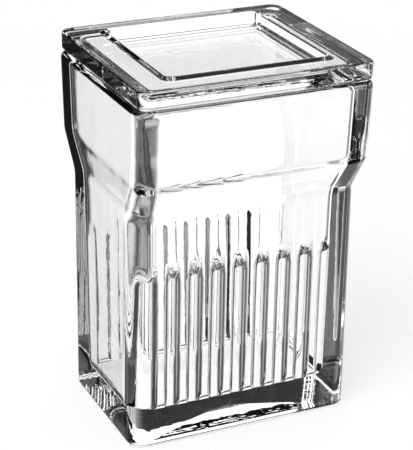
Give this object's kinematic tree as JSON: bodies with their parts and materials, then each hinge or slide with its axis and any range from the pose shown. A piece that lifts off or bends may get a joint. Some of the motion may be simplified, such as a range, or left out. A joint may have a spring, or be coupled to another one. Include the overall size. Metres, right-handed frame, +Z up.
{
  "type": "slide staining jar",
  "caption": "Rectangular pressed-glass staining jar with a widened collar, upright ribs inside both long walls to hold microscope slides apart, and a loose lid plugged in the mouth.",
  "frame": {"origin": "middle of the underside of the foot", "axes": "+Z up, +X along the ribbed long walls, +Y across the slides"},
  "size_m": [0.0608, 0.0528, 0.0943],
  "materials": {
    "jar_glass": "clear pressed soda-lime glass, fire polished",
    "lid_glass": "clear pressed soda-lime glass, fire polished"
  },
  "bodies": {
    "root": {"jar": "jar_glass", "lid": "lid_glass"}
  },
  "joints": []
}
